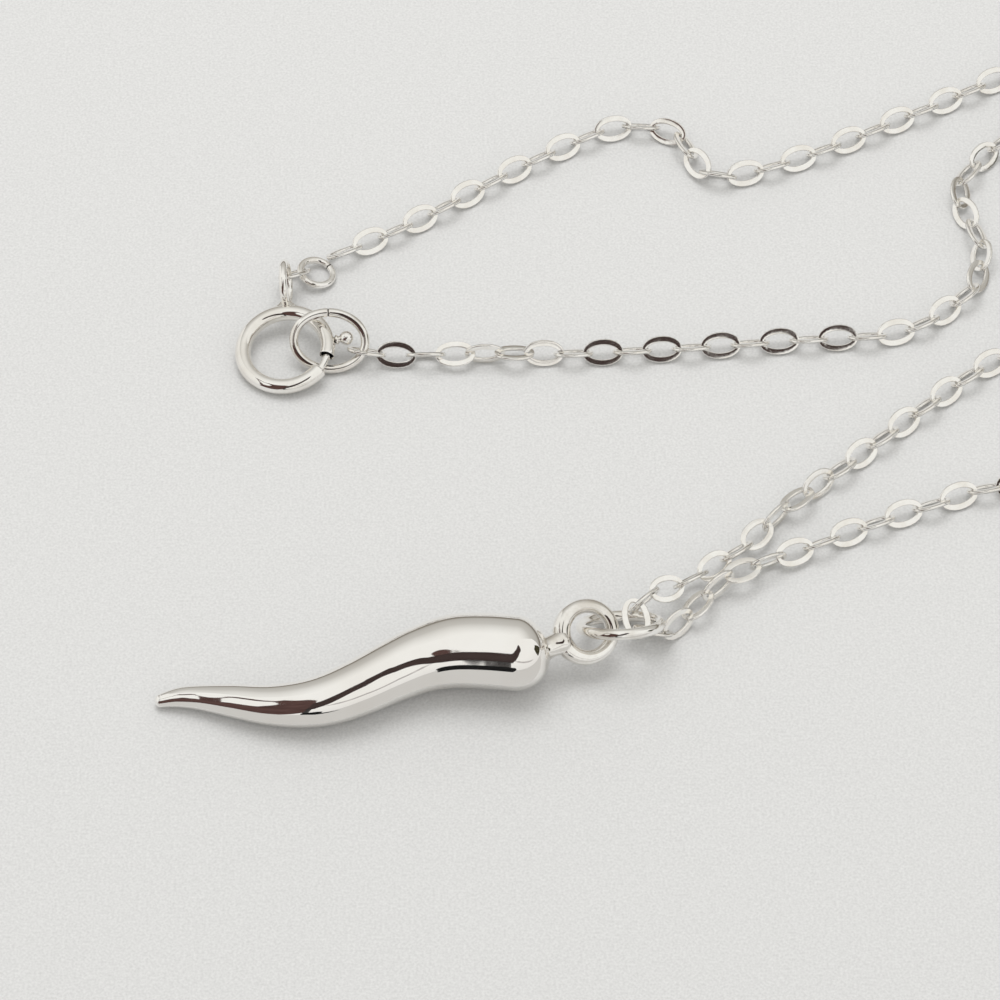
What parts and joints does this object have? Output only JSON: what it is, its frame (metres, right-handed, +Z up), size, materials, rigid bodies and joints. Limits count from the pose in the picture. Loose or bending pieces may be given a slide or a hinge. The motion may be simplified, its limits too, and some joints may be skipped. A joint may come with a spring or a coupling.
{
  "type": "horn charm necklace",
  "caption": "Polished horn-shaped charm hanging by a jump ring on a fine cable chain, closed by a bolt ring clasp, lying flat.",
  "frame": {"origin": "the point of the supporting surface under the middle of the whole outline", "axes": "+X along the longest reach of the laid-out chain, from the clasp's side to the free loops, +Z up from the surface"},
  "size_m": [0.106, 0.057, 0.0043],
  "materials": {
    "horn": "polished silver",
    "rings": "polished silver",
    "chain": "polished silver",
    "clasp": "polished silver"
  },
  "bodies": {
    "necklace": {"horn": "horn", "bail_ring": "rings", "chain": "chain", "end_ring": "rings", "tag_ring": "rings", "clasp_body": "clasp"},
    "bolt": {"clasp_bolt": "clasp"}
  },
  "joints": [
    {"name": "bolt_slide", "type": "hinge", "parent": "necklace", "child": "bolt", "pos_m": [-0.04638, -0.00093, 0.00091], "axis": [-0.1033, -0.153, 0.9828], "range_deg": [0, 26], "stiffness_Nm_per_rad": 0.002}
  ]
}
